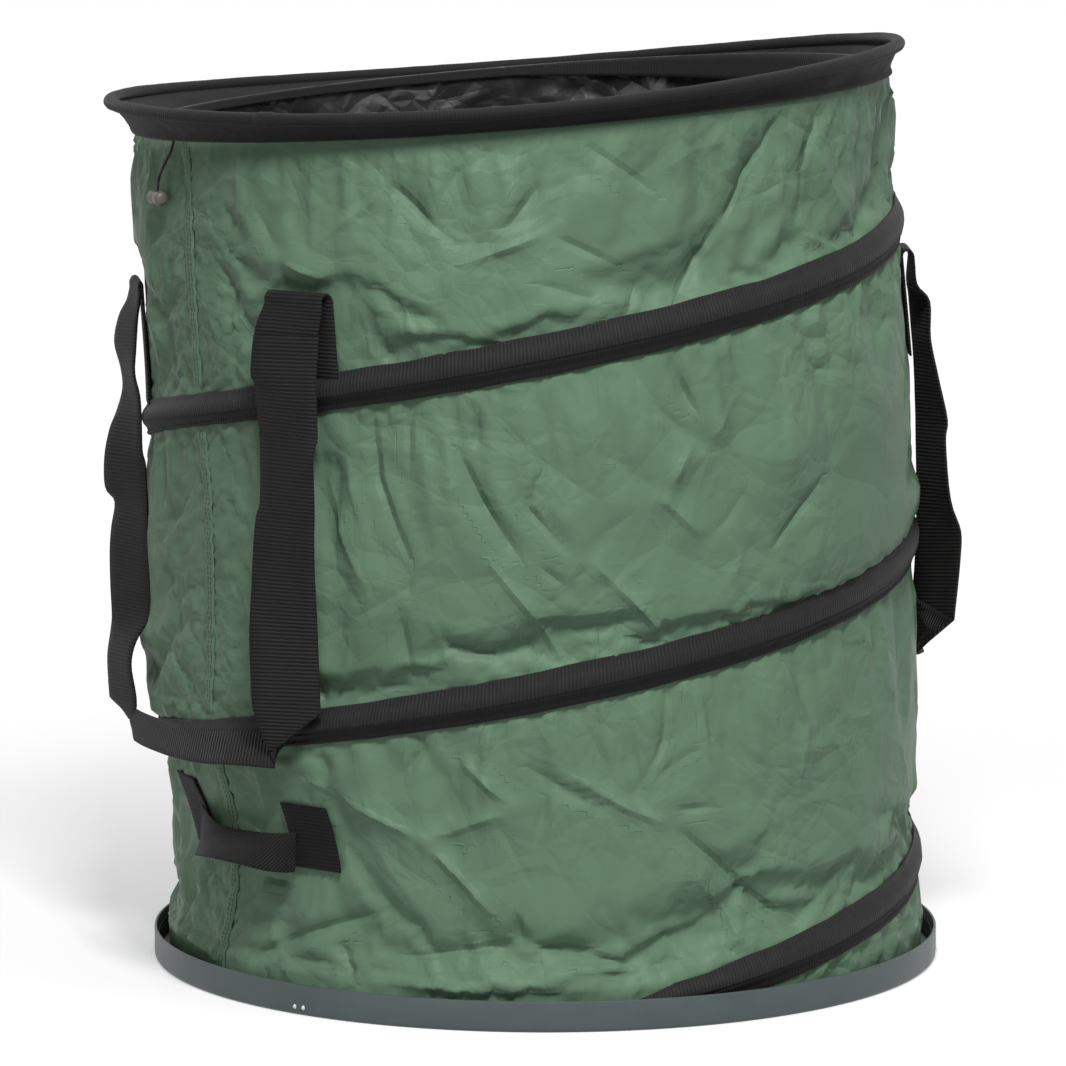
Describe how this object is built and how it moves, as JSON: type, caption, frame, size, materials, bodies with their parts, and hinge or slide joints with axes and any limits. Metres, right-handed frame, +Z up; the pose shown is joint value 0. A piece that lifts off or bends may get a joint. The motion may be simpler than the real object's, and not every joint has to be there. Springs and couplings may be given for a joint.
{
  "type": "pop up leaf bag",
  "caption": "Tall round pop-up leaf bag: a cloth drum on a sprung spiral wire, in a hard tray, with webbing carry loops, a tipping handle and a cord toggle.",
  "frame": {"origin": "middle of the tray's underside, on the floor", "axes": "+Z up through the open top; the carry handles are on -X and +X, and the tipping handle is low on -X"},
  "size_m": [0.5977, 0.5854, 0.6675],
  "materials": {
    "green_cloth": "coated woven cloth with a slight sheen",
    "black_tape": "ribbed black binding tape",
    "black_webbing": "matt ribbed webbing",
    "grey_plastic": "satin moulded",
    "spring_steel": "drawn wire",
    "toggle_plastic": "moulded"
  },
  "bodies": {
    "base": {"base_tray": "grey_plastic", "hem_tape": "black_tape", "tray_rivet_1": "spring_steel", "tray_rivet_2": "spring_steel", "tray_rivet_3": "spring_steel", "tray_rivet_4": "spring_steel", "tray_rivet_5": "spring_steel", "tray_rivet_6": "spring_steel", "wall_cloth": "green_cloth", "floor_cloth": "green_cloth", "base_piping": "black_tape", "base_hoop": "spring_steel", "base_ferrule": "spring_steel", "spiral_casing": "black_tape", "spiral_wire": "spring_steel", "side_seam_lower": "green_cloth", "side_seam_middle": "green_cloth", "side_seam_upper": "green_cloth"},
    "rim": {"rim_binding": "black_tape", "rim_hoop": "spring_steel", "rim_ferrule": "spring_steel", "rim_collar": "black_tape", "toggle_cord": "black_tape", "toggle": "toggle_plastic"},
    "left_tabs": {"left_handle_tab_front": "black_webbing", "left_handle_tab_back": "black_webbing"},
    "left_handle": {"left_handle_loop": "black_webbing"},
    "right_tabs": {"right_handle_tab_front": "black_webbing", "right_handle_tab_back": "black_webbing"},
    "right_handle": {"right_handle_loop": "black_webbing"},
    "tipping_patches": {"tipping_handle_patch_front": "black_webbing", "tipping_handle_patch_back": "black_webbing"},
    "tipping_handle": {"tipping_handle_strap": "black_webbing"}
  },
  "joints": [
    {"name": "collapse", "type": "slide", "parent": "base", "child": "rim", "axis": [0, 0, -1], "range_m": [0, 0.5], "stiffness_N_per_m": 70, "springref_m": -0.15, "deforming": ["wall_cloth", "side_seam_lower", "side_seam_middle", "side_seam_upper", "spiral_casing", "spiral_wire"]},
    {"name": "left_tabs_drop", "type": "slide", "parent": "base", "child": "left_tabs", "axis": [0, 0, -1], "range_m": [0, 0.4], "deforming": ["left_handle_tab_front", "left_handle_tab_back", "left_handle_loop"]},
    {"name": "right_tabs_drop", "type": "slide", "parent": "base", "child": "right_tabs", "axis": [0, 0, -1], "range_m": [0, 0.4], "deforming": ["right_handle_tab_front", "right_handle_tab_back", "right_handle_loop"]},
    {"name": "tipping_patches_drop", "type": "slide", "parent": "base", "child": "tipping_patches", "axis": [0, 0, -1], "range_m": [0, 0.0685]},
    {"name": "left_handle_swing", "type": "hinge", "parent": "left_tabs", "child": "left_handle", "pos_m": [-0.26457, 0.00844, 0.502], "axis": [0, 1, 0], "range_deg": [0, 150]},
    {"name": "right_handle_swing", "type": "hinge", "parent": "right_tabs", "child": "right_handle", "pos_m": [0.23237, 0.00859, 0.51], "axis": [0, -1, 0], "range_deg": [0, 150]},
    {"name": "tipping_handle_swing", "type": "hinge", "parent": "tipping_patches", "child": "tipping_handle", "pos_m": [-0.26171, -0.04823, 0.121], "axis": [-0.1822, 0.9833, 0], "range_deg": [0, 60]}
  ],
  "couplings": [
    {"joint": "left_tabs_drop", "follows": "collapse", "ratio": 0.799},
    {"joint": "right_tabs_drop", "follows": "collapse", "ratio": 0.799},
    {"joint": "tipping_patches_drop", "follows": "collapse", "ratio": 0.1365}
  ]
}
